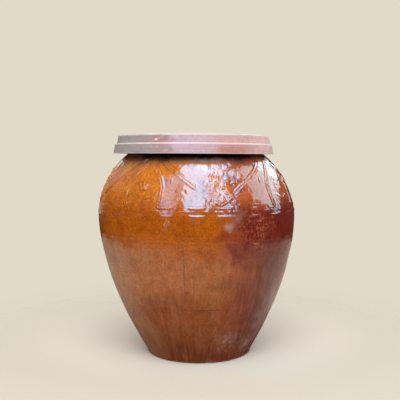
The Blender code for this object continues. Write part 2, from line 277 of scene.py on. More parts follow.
# Marks on the glaze: (colour, strength), then the same measures
GLAZE_MARKS = (
    # The first two are painted reflections: a pale veil just below the neck and a pale sheen on one side of
    # the shoulder
    ("dust_and_reflection", 0.50, 9.0, 0.584, 0.085, 0.012, -0.2, 2.0, 60.0),
    ("dust_and_reflection", 0.34, -60.0, 0.540, 0.120, 0.052, -0.5, 1.8, 40.0),
    ("maroon", 0.30, -66.0, 0.405, 0.080, 0.060, -0.6, 1.6, 24.0),
    ("russet", 0.35, 17.0, 0.375, 0.085, 0.055, -0.6, 1.6, 18.0),
    ("dust_and_reflection", 0.40, 21.5, 0.433, 0.028, 0.036, -0.6, 1.8, 45.0),
    ("dust_and_reflection", 0.72, 17.0, 0.410, 0.024, 0.019, -0.3, 2.2, 60.0),
    ("fleck", 0.70, 33.6, 0.360, 0.010, 0.0045, 0.4, 2.4, 120.0),
    ("maroon", 0.50, 29.0, 0.300, 0.045, 0.075, -0.5, 2.0, 24.0),
    ("ochre", 0.60, 34.5, 0.276, 0.017, 0.030, -0.4, 2.8, 70.0),
    ("iron_and_neck_shade", 0.60, 10.4, 0.279, 0.0030, 0.0034, 0.4, 1.4, 160.0),
    ("dust_and_reflection", 0.66, 64.0, 0.150, 0.105, 0.165, -0.4, 2.0, 26.0),
    ("iron_and_neck_shade", 0.24, 36.0, 0.070, 0.034, 0.065, -0.4, 2.0, 40.0),
    ("maroon", 0.35, 27.0, 0.085, 0.060, 0.070, -0.4, 2.0, 30.0),
    ("dust_and_reflection", 0.55, 26.5, 0.078, 0.048, 0.042, -0.6, 4.4, 85.0),
    ("dust_and_reflection", 0.62, 49.0, 0.045, 0.034, 0.032, -0.4, 3.4, 70.0),
    ("plum", 0.65, -6.6, 0.292, 0.0028, 0.120, 0.0, 0.9, 60.0),
    ("iron_and_neck_shade", 0.60, 5.5, 0.175, 0.078, 0.0015, 0.3, 0.8, 90.0),
    ("clay", 0.90, 13.0, 0.005, 0.012, 0.006, 0.6, 0.8, 120.0),
)


def hue(code):
    """A linear colour from its six-digit web code."""
    parts = [int(code[k:k + 2], 16) / 255 for k in (0, 2, 4)]
    return tuple(p / 12.92 if p <= 0.04045 else ((p + 0.055) / 1.055) ** 2.4 for p in parts)


def length(name, about, default):
    """A property that holds a length in metres."""
    return FloatProperty(name=name, description=about, default=default, min=0.0, precision=4, unit="LENGTH")


def colour(name, about, code):
    """A property that holds a colour."""
    return FloatVectorProperty(name=name, description=about, default=hue(code), min=0.0, max=1.0, size=3,
                               subtype="COLOR")


class JarSizes(PropertyGroup):
    """Sizes of the jar's wall."""

    foot_radius: length("Foot radius", "Outer radius of the foot", 0.1595)
    foot_edge: length("Foot edge", "Height of the worn edge round the foot", 0.004)
    belly_radius: length("Belly radius", "Widest radius of the wall", 0.2995)
    belly_height: length("Belly height", "Height of the widest place", 0.430)
    neck_radius: length("Neck radius", "Outer radius of the neck", 0.203)
    neck_height: length("Neck height", "Height at which the shoulder meets the neck", 0.608)
    height: length("Height", "Height of the rim", JAR_HIGH[2])
    lean: length("Lean", "How far the rim stands to one side of the foot", 0.0115)
    wall: length("Wall", "Thickness of the wall", 0.013)
    floor: length("Floor", "Thickness of the floor", 0.018)
    relief: length("Relief", "How far the luted lines stand off the wall", 0.0022)


class LidSizes(PropertyGroup):
    """Sizes of the lid."""

    radius: length("Radius", "Outer radius at the lower edge", (LID_HIGH[0] - LID_LOW[0]) / 2)
    height: length("Height", "Overall height", LID_HIGH[2] - LID_LOW[2])
    plate: length("Plate", "Thickness of the plate that lies on the rim", 0.014)
    skirt: length("Skirt", "Thickness of the skirt at its lower edge", 0.017)
    step_height: length("Step height", "Height of the lower tier", 0.028)
    step_width: length("Step width", "How far the upper tier is set in", 0.005)


class GlazeLook(PropertyGroup):
    """Colours of the jar's glaze and clay."""

    honey: colour("Honey", "Thin bright glaze on the shoulder", "d0761c")
    straw: colour("Straw", "Duller glaze just below the neck", "b87840")
    amber: colour("Amber", "Glaze on the belly", "af5912")
    copper: colour("Copper", "Redder glaze on one side of the shoulder", "b25532")
    tan: colour("Tan", "Drier glaze below the belly", "ab6233")
    ochre: colour("Ochre", "Yellow patches below the belly", "a8622c")
    brown: colour("Brown", "Glaze on the lower wall", "914b22")
    umber: colour("Umber", "Thick dark glaze towards the foot", "743612")
    russet: colour("Russet", "Where the maroon meets the drier glaze", "8a4029")
    maroon: colour("Maroon", "Glaze that was fired hotter, on one side", "74271c")
    plum: colour("Plum", "Dry maroon glaze on the lower wall", "6b392e")
    # Bloom is also the colour of the painted reflection of the pale floor on one side of the lower wall
    bloom_and_reflection: colour("Bloom", "Milky streaks on the lower wall", "b28463")
    fleck: colour("Fleck", "Pale flecks in the maroon", "c07350")
    # Dust is also the colour of two painted reflections on the shoulder
    dust_and_reflection: colour("Dust", "Dried dirt and haze", "a58f88")
    # Iron glaze for specks and marks, and also the colour of the painted shade under the lid's overhang
    iron_and_neck_shade: colour("Iron", "Thick dark ring below the neck", "24131e")
    clay: colour("Clay", "Bare clay of the foot ring", "7d4a33")


class ClayLook(PropertyGroup):
    """Colours of the lid's fired clay."""

    pink: colour("Pink", "The lid's clay", "c79b98")
    lilac: colour("Lilac", "Cooler clay at the front", "c3a9b3")
    rose: colour("Rose", "Darker clay beside the smoked part", "ae8582")
    grey: colour("Grey", "Smoked clay on one side", "a29490")
    salmon: colour("Salmon", "Warm patch on the lower tier", "b87e6d")
    blush: colour("Blush", "Paler clay on the other side", "dab0a8")
    chalk: colour("Chalk", "Rubbed edges", "f2e4e0")


class StageLook(PropertyGroup):
    """Backdrop and light."""

    backdrop: colour("Backdrop", "Background", "e2dac9")
    # The floor's colours are painted light and shade: lighter in the jar's shade and darker in full light
    floor: colour("Floor", "Floor in the jar's shade", "f4ecde")
    far_floor: colour("Far floor", "Floor in full light", "e4dccd")
    fill: FloatProperty(name="Fill", description="Level of the even light", default=0.64, min=0.0)
    key: FloatProperty(name="Key", description="Power of the soft lamp", default=70.0, min=0.0, unit="POWER")
    window: colour("Window", "Colour of the sky in the glaze's reflections", "70cdff")


def bezier(start, pull_out, pull_in, end, steps):
    """Points along a cubic curve, both ends included."""
    t = np.linspace(0.0, 1.0, steps + 1)[:, None]
    s = 1.0 - t
    return s**3 * start + 3 * s * s * t * pull_out + 3 * s * t * t * pull_in + t**3 * end


def bell(distance, spread):
    """1 at no distance, falling to almost 0 at twice the spread."""
    return np.exp(-(distance / spread) ** 2)


class Wall:
    """The smooth outside of the jar: its radius, slope and lean at any height."""

    def __init__(self, jar):
        foot = np.array((jar.foot_radius, jar.foot_edge))
        belly = np.array((jar.belly_radius, jar.belly_height))
        neck = np.array((jar.neck_radius, jar.neck_height))
        foot_pull = foot + FOOT_PULL * np.array((math.cos(FOOT_SLOPE), math.sin(FOOT_SLOPE)))
        neck_pull = neck + NECK_PULL * np.array((math.cos(NECK_SLOPE), -math.sin(NECK_SLOPE)))
        lower = bezier(foot, foot_pull, belly - (0.0, BELLY_PULL_DOWN), belly, GUIDE_STEPS)
        upper = bezier(belly, belly + (0.0, BELLY_PULL_UP), neck_pull, neck, GUIDE_STEPS)
        radii, self.heights = np.vstack((lower, upper[1:])).T
        self.radii = radii - WAIST_DIP * bell(self.heights - WAIST_HEIGHT, WAIST_SPREAD)
        run = np.gradient(np.column_stack((self.radii, self.heights)), axis=0)
        steps = np.hypot(*run.T)
        self.outs = run[:, 1] / steps
        self.ups = -run[:, 0] / steps
        steps = np.hypot(np.diff(self.radii), np.diff(self.heights))
        self.climbs = np.concatenate(((0.0,), np.cumsum(steps)))
        self.lean = jar.lean / jar.height
        self.still = jar.belly_height
        self.thickness = jar.wall

    def radius(self, height):
        return np.interp(height, self.heights, self.radii)

    def out(self, height):
        return np.interp(height, self.heights, self.outs)

    def up(self, height):
        return np.interp(height, self.heights, self.ups)

    def climb(self, height):
        """Distance up the wall from its foot."""
        return np.interp(height, self.heights, self.climbs)

    def sway(self, height):
        """Sideways place of the jar's axis at a height."""
        return -self.lean * (height - self.still)

    def inner_radius(self, height):
        return self.radius(height) - self.thickness / self.out(height)

    def rows(self, low, high, step):
        """Heights from low to high, evenly spaced up the wall."""
        climbs = self.climb(np.array((low, high)))
        count = max(2, math.ceil((climbs[1] - climbs[0]) / step))
        heights = np.interp(np.linspace(*climbs, count + 1), self.climbs, self.heights)
        heights[0], heights[-1] = low, high
        return heights

    def outer_line(self, heights):
        return list(zip(self.radius(heights), heights))

    def inner_line(self, low, high):
        """The inside of the wall, from high to low."""
        heights = self.rows(low, high, INNER_STEP)[::-1]
        return list(zip(self.inner_radius(heights), heights))

    def point(self, azimuth, height, lift):
        """Places that stand a lift off the wall, as rows of x, y, z."""
        radius = self.radius(height) + lift * self.out(height)
        x = radius * np.sin(azimuth) + self.sway(height)
        return np.stack((x, -radius * np.cos(azimuth), height + lift * self.up(height)), axis=-1)

    def normal(self, azimuth, height):
        out = float(self.out(height))
        return Vector((out * math.sin(azimuth), -out * math.cos(azimuth), float(self.up(height))))


def wave_set(seed, count, turns, climbs, height_of_waves):
    """A seeded set of waves (turns round the jar, climb, phase, height) for an uneven surface."""
    draw = np.random.default_rng(seed)
    return [(draw.integers(*turns), draw.uniform(*climbs), draw.uniform(0.0, math.tau),
             height_of_waves * draw.uniform(0.5, 1.0)) for _ in range(count)]


def sum_of_waves(waves, azimuth, height):
    """The uneven surface that a set of waves gives."""
    return sum(rise * np.sin(turns * azimuth + climb * height + phase) for turns, climb, phase, rise in waves)


SWELLS = wave_set(11, 5, (1, 4), (-9.0, 9.0), 0.00022)
LUMPS = wave_set(12, 26, (5, 34), (-95.0, 95.0), 0.00007)
DIMPLES = wave_set(13, 30, (30, 120), (-420.0, 420.0), 0.000022)
COMBING = wave_set(14, 26, (40, 105), (-250.0, 250.0), 0.00017)
COMBING += wave_set(15, 22, (110, 220), (-520.0, 520.0), 0.000045)
LID_WAVES = wave_set(21, 4, (2, 5), (-10.0, 10.0), 0.00030)
LID_WAVES += wave_set(22, 24, (7, 60), (-260.0, 260.0), 0.00015)


def hand_marks(azimuth, height):
    """What throwing and drying leave on the wall: slow swells, lumps, dimples and finger rings."""
    drift = 0.9 * np.sin(azimuth + 1.0) + 0.5 * np.sin(2 * azimuth - 0.4)
    strength = 0.65 + 0.35 * np.sin(23.0 * height + 2 * azimuth)
    strength = strength * np.clip((0.52 - height) / 0.06, 0.0, 1.0)
    rings = RING_RISE * strength * np.sin(math.tau * height / RING_PITCH + drift)
    return sum_of_waves(SWELLS + LUMPS + DIMPLES, azimuth, height) + rings - HAND_DEPTH


def distance_to(line, azimuth, climb, radius):
    """Distance of wall places from a line of (azimuth, climb) points, and the share of the way along it."""
    nearest = np.full(azimuth.shape, 1.0)
    along = np.zeros(azimuth.shape)
    for step, (start, end) in enumerate(zip(line, line[1:])):
        run_x = (end[0] - start[0]) * radius
        run_y = end[1] - start[1]
        off_x = (azimuth - start[0]) * radius
        off_y = climb - start[1]
        share = np.clip((off_x * run_x + off_y * run_y) / (run_x**2 + run_y**2), 0.0, 1.0)
        gap = np.hypot(off_x - share * run_x, off_y - share * run_y)
        closer = gap < nearest
        nearest = np.where(closer, gap, nearest)
        along = np.where(closer, (step + share) / (len(line) - 1), along)
    return nearest, along


def bead(distance, spread):
    """Section of a round coil: 1 on its middle line and 0 past its spread."""
    return np.clip(1.0 - (distance / spread) ** 2, 0.0, 1.0) ** COIL_ROUND


def pool(distance, edge):
    """Where glaze gathers at the foot of a raised line."""
    return bell(distance - edge, POOL_SPREAD)


def within(place, azimuth, height):
    """How far inside a soft-edged place a wall point lies, 0 to 1."""
    return np.exp(-((azimuth - place[0]) / place[2]) ** 6 - ((height - place[1]) / place[3]) ** 6)


class Relief:
    """The luted relief: four lappets with scrolls, and four arches with a sprig, two leaves and two buds.

    A place is the azimuth from the middle of a lappet or arch, the climb up the wall and the wall's radius.
    Each part gives its height, as a share of the relief's, and how deep the glaze lies beside it.
    """

    def __init__(self, wall, jar):
        self.wall = wall
        self.neck = jar.neck_height
        self.rise = jar.relief
        self.top = jar.neck_height - RELIEF_TOP_DROP
        self.foot = jar.neck_height - RELIEF_FOOT_DROP
        self.lappet = self.lappet_line()
        self.arch = self.arch_line()
        self.scrolls = [self.scroll_line(side) for side in (-1, 1)]

    def lappet_line(self):
        across = np.linspace(-1.0, 1.0, LAPPET_POINTS)
        reach = np.hypot(across, LAPPET_TIP_ROUND) - LAPPET_TIP_ROUND
        reach /= math.hypot(1.0, LAPPET_TIP_ROUND) - LAPPET_TIP_ROUND
        tip = self.foot + BAND_WIDTH / 2
        height = tip + (self.top - tip) * reach**LAPPET_BOW
        half = math.pi / REPEATS - (BAND_WIDTH + LAPPET_CLEARANCE) / self.wall.radius(self.top)
        return np.column_stack((half * across, self.wall.climb(height)))

    def arch_line(self):
        spring = self.neck - ARCH_SPRING_DROP
        apex = self.neck - ARCH_APEX_DROP
        rise = np.linspace(1.0, 0.0, ARCH_RISE_POINTS)[:-1]
        fall = np.linspace(0.0, 1.0, ARCH_LEG_POINTS)
        across = np.concatenate((ARCH_WIDTH / 2 * (1.0 - rise**ARCH_POINT),
                                 ARCH_WIDTH / 2 - ARCH_DRAW_IN / 2 * fall**2))
        height = np.concatenate((spring + (apex - spring) * rise, spring + (self.foot - spring) * fall))
        right = np.column_stack((across / self.wall.radius(spring), self.wall.climb(height)))
        left = right[:0:-1] * (-1.0, 1.0)
        return np.vstack((left, right))

    def scroll_line(self, side):
        eye = self.neck - SCROLL_DROP
        share = np.linspace(0.0, 1.0, SCROLL_POINTS)
        turn = SCROLL_START + SCROLL_TURN * share
        arm = SCROLL_RADIUS + (SCROLL_EYE - SCROLL_RADIUS) * share
        across = side * (SCROLL_SPACE / 2 + SCROLL_RADIUS + arm * np.cos(turn))
        return np.column_stack((across / self.wall.radius(eye), self.wall.climb(eye) + arm * np.sin(turn)))

    def short_line(self, drop, start, end, rise):
        height = self.neck - drop
        radius = self.wall.radius(height)
        climb = self.wall.climb(height)
        return np.array(((start / radius, climb), (end / radius, climb + rise)))

    def band(self, line, place):
        """Two beads with a shallow floor between them."""
        gap, _ = distance_to(line, *place)
        beads = bead(np.abs(gap - BEAD_OFFSET), BEAD_SPREAD)
        floor = BAND_FLOOR * bead(np.maximum(gap - BEAD_OFFSET, 0.0), BEAD_SPREAD)
        return np.maximum(beads, floor), pool(gap, BAND_WIDTH / 2 + 0.0005) + 0.6 * pool(gap, 0.0)

    def scroll(self, line, place):
        """A coil that thins towards its eye."""
        gap, along = distance_to(line, *place)
        spread = BEAD_SPREAD * (1.1 - SCROLL_TAPER * along)
        return bead(gap, spread), pool(gap, spread)

    def sprig(self, place):
        """A pressed flower with rounded petals and a sunk ring round its eye."""
        azimuth, climb, radius = place
        across = azimuth * radius
        up = climb - self.wall.climb(self.neck - SPRIG_DROP)
        reach = np.hypot(across, up)
        petals = np.cos(SPRIG_LOBES * np.arctan2(across, up))
        edge = SPRIG_RADIUS * (1.0 - SPRIG_LOBE_DEPTH * (1.0 - petals) / 2)
        dome = np.clip(1.0 - (reach / edge) ** 4, 0.0, 1.0) * (0.75 + 0.25 * petals)
        ring = 0.55 * bell(reach - SPRIG_RING_RADIUS, SPRIG_RING_SPREAD)
        return np.maximum(1.15 * dome - ring, 0.0), pool(reach, edge)

    def leaf(self, line, spread, place):
        """A pointed leaf with a scored vein."""
        gap, along = distance_to(line, *place)
        half = spread * (0.25 + 0.75 * np.sin(math.pi * along**0.8))
        blade = np.clip(1.0 - (gap / half) ** 2, 0.0, 1.0)
        vein = 0.35 * bell(gap, VEIN_SPREAD) * (blade > 0.0)
        return blade - vein, pool(gap, half)

    def combing(self, azimuth, by_lappet, height):
        """Brushed slip in each lappet and at a few rough places, which breaks up what the glaze mirrors."""
        patch = 1.7 * within(COMBED, by_lappet, height)
        patch += sum(within(place, azimuth, height) for place in ROUGH_PLACES)
        return (0.05 + patch) * sum_of_waves(COMBING, azimuth, height)

    def wear(self, azimuth, height):
        """How much of the relief's height is left, since no hand lays it evenly and thick glaze fills it."""
        coarse = 0.72 + 0.28 * np.sin(9 * azimuth + 60.0 * height) * np.sin(23 * azimuth - 95.0 * height)
        fine = 0.85 + 0.15 * np.sin(61 * azimuth + 170.0 * height) * np.sin(40 * azimuth - 330.0 * height)
        return coarse * fine * (1.0 - 0.96 * within(THICK_PLACE, azimuth, height))

    def at(self, azimuth, height):
        """How far the relief stands off the wall, and how deep the glaze lies beside it, 0 to 1."""
        radius = self.wall.radius(height)
        climb = self.wall.climb(height) + 0.0013 * np.sin(5 * azimuth + 1.9) + 0.0008 * np.sin(11 * azimuth)
        azimuth = azimuth + 0.005 * np.sin(3 * azimuth + 0.7) + 0.004 * np.sin(40.0 * height + azimuth)
        pitch = math.tau / REPEATS
        by_lappet = (azimuth - FRONT_AZIMUTH + pitch / 2) % pitch - pitch / 2
        by_arch = (azimuth - FRONT_AZIMUTH) % pitch - pitch / 2
        in_lappet = (by_lappet, climb, radius)
        in_arch = (by_arch, climb, radius)
        parts = [self.band(self.lappet, in_lappet), self.band(self.arch, in_arch), self.sprig(in_arch)]
        parts += [self.scroll(line, in_lappet) for line in self.scrolls]
        for side in (-1, 1):
            leaf_end = side * (LEAF_START + LEAF_LENGTH)
            leaf = self.short_line(LEAF_DROP, side * LEAF_START, leaf_end, LEAF_CLIMB)
            bud = self.short_line(BUD_DROP, side * BUD_REACH, side * BUD_REACH, BUD_LENGTH)
            parts.append(self.leaf(leaf, LEAF_SPREAD, in_arch))
            parts.append(self.leaf(bud, BUD_SPREAD, in_arch))
        lift = np.max([lift for lift, _ in parts], axis=0) * self.rise * self.wear(azimuth, height)
        depth = np.clip(np.max([depth for _, depth in parts], axis=0), 0.0, 1.0)
        lift = lift + self.combing(azimuth, by_lappet, height)
        for drop, rise in THROWN_LINES:
            gap = np.abs(height - self.neck + drop + 0.0006 * np.sin(2 * azimuth + 40 * drop))
            breaks = np.cos(THROWN_LINE_BREAKS * azimuth + 300.0 * (drop - THROWN_LINES[2][0]))
            broken = np.clip(0.5 + 1.2 * breaks + 0.5 * np.sin(7 * azimuth), 0.05, 1.0)
            broken = broken * (1.0 - 0.7 * bell(azimuth - 0.9, 0.3))
            lift = np.maximum(lift, rise * bead(gap, THROWN_LINE_SPREAD) * broken)
        return lift, depth


def turned(outline, columns, closed):
    """A solid of revolution from (radius, height) points: one sector is spun, then repeated."""
    shape = bmesh.new()
    points = [shape.verts.new((0.0, -radius, height)) for radius, height in outline]
    edges = [shape.edges.new(pair) for pair in zip(points, points[1:])]
    if closed:
        edges.append(shape.edges.new((points[-1], points[0])))
    axle = {"cent": (0.0, 0.0, 0.0), "axis": (0.0, 0.0, 1.0)}
    sector = math.tau / SECTORS
    bmesh.ops.spin(shape, geom=points + edges, angle=sector, steps=columns // SECTORS, **axle)
    whole = shape.verts[:] + shape.edges[:] + shape.faces[:]
    bmesh.ops.spin(shape, geom=whole, angle=math.tau - sector, steps=SECTORS - 1, use_duplicate=True, **axle)
    bmesh.ops.remove_doubles(shape, verts=shape.verts, dist=WELD)
    bmesh.ops.recalc_face_normals(shape, faces=shape.faces)
    return shape


def finished(name, shape, finishes):
    """Closes a bmesh into a named, smooth object with its finishes."""
    mesh = bpy.data.meshes.new(name)
    shape.to_mesh(mesh)
    shape.free()
    for finish in finishes:
        mesh.materials.append(finish)
    mesh.shade_smooth()
    piece = bpy.data.objects.new(name, mesh)
    bpy.context.collection.objects.link(piece)
    return piece


def rows_of(items, key="co"):
    """A vector of each vertex or face, as rows of x, y, z."""
    flat = np.empty(3 * len(items))
    items.foreach_get(key, flat)
    return flat.reshape(-1, 3)


def polar(places):
    """The azimuth and radius of rows of x, y, z."""
    return np.arctan2(places[:, 0], -places[:, 1]), np.hypot(places[:, 0], places[:, 1])


def move(mesh, places):
    mesh.vertices.foreach_set("co", places.ravel())
    mesh.update()


def dress_wall(mesh, wall, relief, heights, columns):
    """Moves the outer face of a turned wall to its uneven, relief-bearing surface and shades it evenly."""
    places = rows_of(mesh.vertices)
    around, radii = polar(places)
    on_face = np.abs(radii - wall.radius(places[:, 2])) < WELD
    on_face &= (places[:, 2] > heights[0] - WELD / 2) & (places[:, 2] < heights[-1] + WELD / 2)
    middles = (heights[1:] + heights[:-1]) / 2
    row = np.searchsorted(middles, places[on_face, 2]) + 1
    column = np.round(around[on_face] / math.tau * columns).astype(int) % columns

    below = 2 * heights[0] - heights[1]
    above = 2 * heights[-1] - heights[-2]
    longer = np.concatenate(((below,), heights, (above,)))
    azimuth, height = np.meshgrid(np.arange(columns) * math.tau / columns, longer)
    lift = hand_marks(azimuth, height)
    raised = np.zeros_like(lift)
    depth = np.zeros_like(lift)
    if relief:
        raised, depth = relief.at(azimuth, height)
    surface = wall.point(azimuth, height, lift + raised)
    sideways = np.roll(surface, -1, axis=1) - np.roll(surface, 1, axis=1)
    facing = np.cross(sideways, np.gradient(surface, axis=0))
    facing /= np.linalg.norm(facing, axis=2, keepdims=True)

    for name, values in (("glaze_depth", depth), ("raised", raised / RAISED_FULL)):
        kept = np.zeros(len(places), dtype=np.float32)
        kept[on_face] = values[row, column]
        mesh.attributes.new(name, "FLOAT", "POINT").data.foreach_set("value", kept)
    normals = np.zeros(places.shape)
    normals[on_face] = facing[row, column]
    places[:, 0] += wall.sway(places[:, 2])
    places[on_face] = surface[row, column]
    move(mesh, places)
    mesh.normals_split_custom_set_from_vertices(normals)


def sort_faces(mesh, wall, low, high, foot=0.0):
    """Gives the faces inside the jar their second finish, and those below the foot's edge their third."""
    middles = rows_of(mesh.polygons, "center")
    height = middles[:, 2]
    bounds = wall.radius(np.clip(height, low, high)) - wall.thickness * 0.6
    inside = (polar(middles)[1] < bounds) & (height > low)
    mesh.polygons.foreach_set("material_index", np.where(height < foot, 2, inside).astype(np.int32))


def set_on(piece, body, nodes):
    """Rides a piece on its body in place of the plain solids."""
    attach(piece, body)
    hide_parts(*nodes)


class Value:
    """A node's output, a number or a colour, which can be added, multiplied, stepped and coated."""

    def __init__(self, graph, socket):
        self.graph = graph
        self.socket = socket

    def __add__(self, other):
        return self.graph.math("ADD", self, other)

    def __sub__(self, other):
        return self.graph.math("SUBTRACT", self, other)

    def __mul__(self, other):
        return self.graph.math("MULTIPLY", self, other)

    def __truediv__(self, other):
        return self.graph.math("DIVIDE", self, other)

    def __abs__(self):
        return self.graph.math("ABSOLUTE", self)

    def beside(self, output):
        """Another output of the same node."""
        return Value(self.graph, self.socket.node.outputs[output])

    def step(self, low, high, start=0.0, end=1.0):
        """A soft step from start to end as the value goes from low to high."""
        feeds = {"Value": self, "From Min": low, "From Max": high, "To Min": start, "To Max": end}
        return self.graph.made("MapRange", feeds, interpolation_type="SMOOTHSTEP")

    def varied(self, *noises):
        """The value, moved up and down by (noise, reach) pairs."""
        value = self
        for noise, reach in noises:
            value += (noise - 0.5) * reach
        return value

    def coated(self, *layers):
        """This colour under layers of (share, colour), from the lowest up."""
        body = self
        for share, tint in layers:
            body = self.graph.mix(share, body, tint)
        return body

    def tinted(self, tint):
        """This colour multiplied by another."""
        return self.graph.mix(1.0, self, tint, "MULTIPLY")

    def shaded(self, light):
        """This colour, made lighter and darker by a value around 1."""
        return self.tinted(self.graph.vector(light, light, light))


class Graph:
    """A node tree, written in the order in which its values are made."""

    def __init__(self, tree):
        self.tree = tree

    def feed(self, socket, value):
        if isinstance(value, Value):
            self.tree.links.new(value.socket, socket)
        elif socket.type == "RGBA":
            socket.default_value = (*value, 1.0)
        else:
            socket.default_value = value

    def made(self, kind, values, output=0, **settings):
        """Adds a node, feeds its sockets by name or number and returns one output."""
        node = self.tree.nodes.new("ShaderNode" + kind)
        for name, value in settings.items():
            setattr(node, name, value)
        for socket, value in values.items():
            self.feed(node.inputs[socket], value)
        return Value(self, node.outputs[output])

    def math(self, operation, *values, clamp=False):
        return self.made("Math", dict(enumerate(values)), operation=operation, use_clamp=clamp)

    def distance(self, x, y):
        return self.math("SQRT", x * x + y * y)

    def mix(self, share, first, second, blend="MIX"):
        """A blend of two colours, which are the node's sockets 6 and 7."""
        feeds = {0: share, 6: first, 7: second}
        return self.made("Mix", feeds, 2, data_type="RGBA", blend_type=blend)

    def vector(self, x, y, z):
        return self.made("CombineXYZ", {0: x, 1: y, 2: z})

    @cached_property
    def place(self):
        return self.made("TexCoord", {}, "Object")

    def axes(self):
        """The place's x, y and z."""
        x = self.made("SeparateXYZ", {0: self.place})
        return x, x.beside("Y"), x.beside("Z")

    def noise(self, scale, detail, roughness, distortion=0.0, place=None):
        feeds = {"Vector": place or self.place, "Scale": scale, "Detail": detail, "Roughness": roughness,
                 "Distortion": distortion}
        return self.made("TexNoise", feeds)

    def attribute(self, name):
        return self.made("Attribute", {}, "Fac", attribute_name=name)

    def surface(self, colour, roughness, specular, height, strength, distance):
        """What a shader takes, with fine relief from a height."""
        bump = self.made("Bump", {"Strength": strength, "Distance": distance, "Height": height})
        return {"Base Color": colour, "Roughness": roughness, "Specular IOR Level": specular, "Normal": bump}


def effect(graph, name, values, build):
    """Places a shader node group, which is built the first time, and returns its first output."""
    group = bpy.data.node_groups.get(name)
    if group is None:
        group = bpy.data.node_groups.new(name, "ShaderNodeTree")
        for socket, value in values.items():
            made = group.interface.new_socket(socket, in_out="INPUT", socket_type="NodeSocketFloat")
            made.default_value = value
        inner = Graph(group)
        entry = group.nodes.new("NodeGroupInput")
        results = build(inner, {socket.name: Value(inner, socket) for socket in entry.outputs})
        for socket, value in results.items():
            kind = "NodeSocketVector" if value.socket.type == "VECTOR" else "NodeSocketFloat"
            group.interface.new_socket(socket, in_out="OUTPUT", socket_type=kind)
        exit_node = group.nodes.new("NodeGroupOutput")
        for socket, value in results.items():
            inner.feed(exit_node.inputs[socket], value)
    return graph.made("Group", values, node_tree=group)


def wall_place(graph):
    """A point's azimuth on a turned form, and beside it its height, radius and place on a plain cylinder."""
    def build(inner, _):
        x, y, z = inner.axes()
        radius = inner.math("MAXIMUM", inner.distance(x, y), 0.001)
        azimuth = inner.math("ARCTAN2", x, y * -1.0)
        wrap = inner.vector(x / radius, y / radius, z)
        return {"Azimuth": azimuth, "Height": z, "Radius": radius, "Wrap": wrap}
    return effect(graph, "wall_place", {}, build)


def mark(graph, azimuth, height, half_width, half_height, core, ragged, grain):
    """A mark with a ragged outline at one place on a turned form, with its azimuth in degrees."""
    def build(inner, takes):
        around = wall_place(inner)
        across = (around - takes["Azimuth"]) * around.beside("Radius") / takes["Half Width"]
        up = (around.beside("Height") - takes["Height"]) / takes["Half Height"]
        rough = inner.noise(takes["Grain"], 4.0, 0.65)
        reach = inner.distance(across, up) + (rough - 0.5) * takes["Ragged"]
        return {"Mask": reach.step(1.0, takes["Core"])}
    values = {"Azimuth": math.radians(azimuth), "Height": height, "Half Width": half_width,
              "Half Height": half_height, "Core": core, "Ragged": ragged, "Grain": grain}
    return effect(graph, "wall_mark", values, build)


def wrapped(graph, around, up):
    """The place on a plain cylinder, scaled round it and along it."""
    feeds = {0: wall_place(graph).beside("Wrap"), 1: graph.vector(around, around, up)}
    return graph.made("VectorMath", feeds, operation="MULTIPLY")


def streaks(graph, scale, stretch, low, high):
    """Runs down a turned form, from drips and brushing."""
    def build(inner, takes):
        runs = inner.noise(takes["Scale"], 4.0, 0.6, 0.15, wrapped(inner, 1.0, takes["Stretch"]))
        return {"Mask": runs.step(takes["Low"], takes["High"])}
    return effect(graph, "streaks", {"Scale": scale, "Stretch": stretch, "Low": low, "High": high}, build)


def turning_lines(graph, fineness):
    """Fine level lines that the potter's fingers and tools leave, as a height."""
    def build(inner, takes):
        return {"Height": inner.noise(1.0, 3.0, 0.55, 0.0, wrapped(inner, 0.9, takes["Fineness"]))}
    return effect(graph, "turning_lines", {"Fineness": fineness}, build)


def speckle(graph, scale, amount, size):
    """Scattered small spots."""
    def build(inner, takes):
        feeds = {"Vector": inner.place, "Scale": takes["Scale"], "Randomness": 1.0}
        distance = inner.made("TexVoronoi", feeds, "Distance", feature="F1")
        lucky = inner.made("SeparateColor", {0: distance.beside("Color")})
        chosen = inner.math("LESS_THAN", lucky, takes["Amount"])
        return {"Mask": chosen * distance.step(takes["Size"], 0.0)}
    return effect(graph, "speckle", {"Scale": scale, "Amount": amount, "Size": size}, build)


def material(name, build, *values):
    """A material, built the first time that it is asked for."""
    made = bpy.data.materials.get(name)
    if made is None:
        made = bpy.data.materials.new(name)
        made.use_nodes = True
        graph = Graph(made.node_tree)
        for socket, value in build(graph, *values).items():
            graph.feed(made.node_tree.nodes["Principled BSDF"].inputs[socket], value)
    return made


